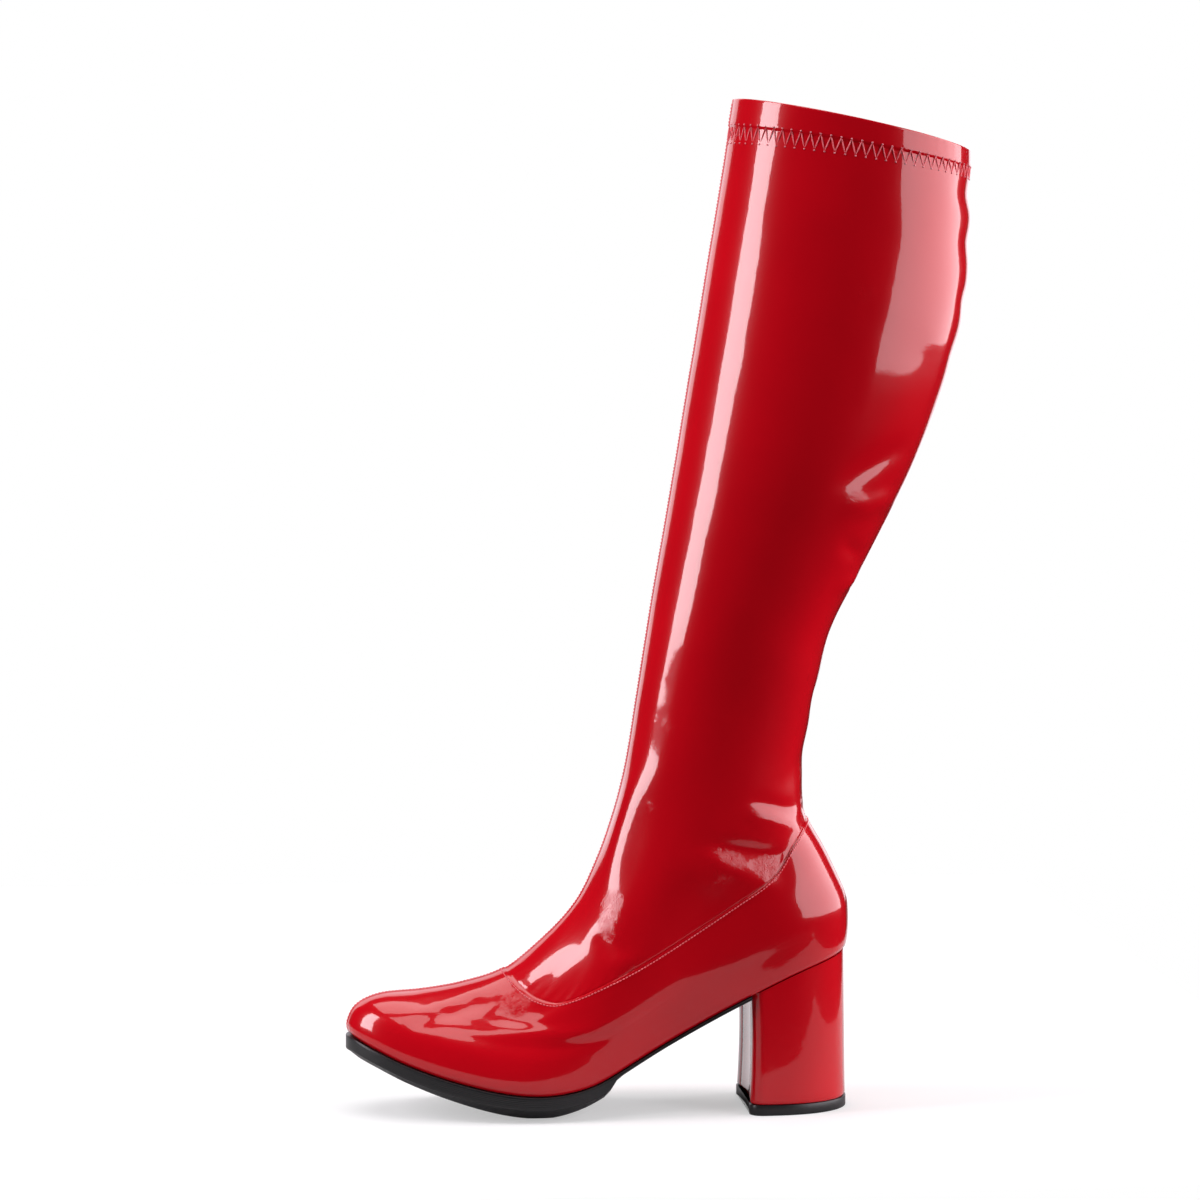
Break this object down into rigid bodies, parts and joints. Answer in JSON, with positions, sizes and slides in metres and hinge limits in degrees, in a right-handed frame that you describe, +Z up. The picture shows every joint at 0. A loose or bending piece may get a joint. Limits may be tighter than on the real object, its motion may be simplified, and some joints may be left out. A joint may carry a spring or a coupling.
{
  "type": "go go boot",
  "caption": "Knee-high boot for the left foot with a patent upper, side foot seam, stitched hem, thin black sole and covered block heel.",
  "frame": {"origin": "the middle of the top piece's underside, on the floor under the heel", "axes": "+Z up along the shaft, -X towards the toe, -Y towards the outer side of the left foot"},
  "size_m": [0.3098, 0.106, 0.4982],
  "materials": {
    "red_patent": "high gloss patent",
    "black_rubber": "semi-gloss",
    "sock_lining": "matte"
  },
  "bodies": {
    "root": {"upper": "red_patent", "heel": "red_patent", "outsole": "black_rubber", "heel_tip": "black_rubber", "insole": "sock_lining"}
  },
  "joints": []
}
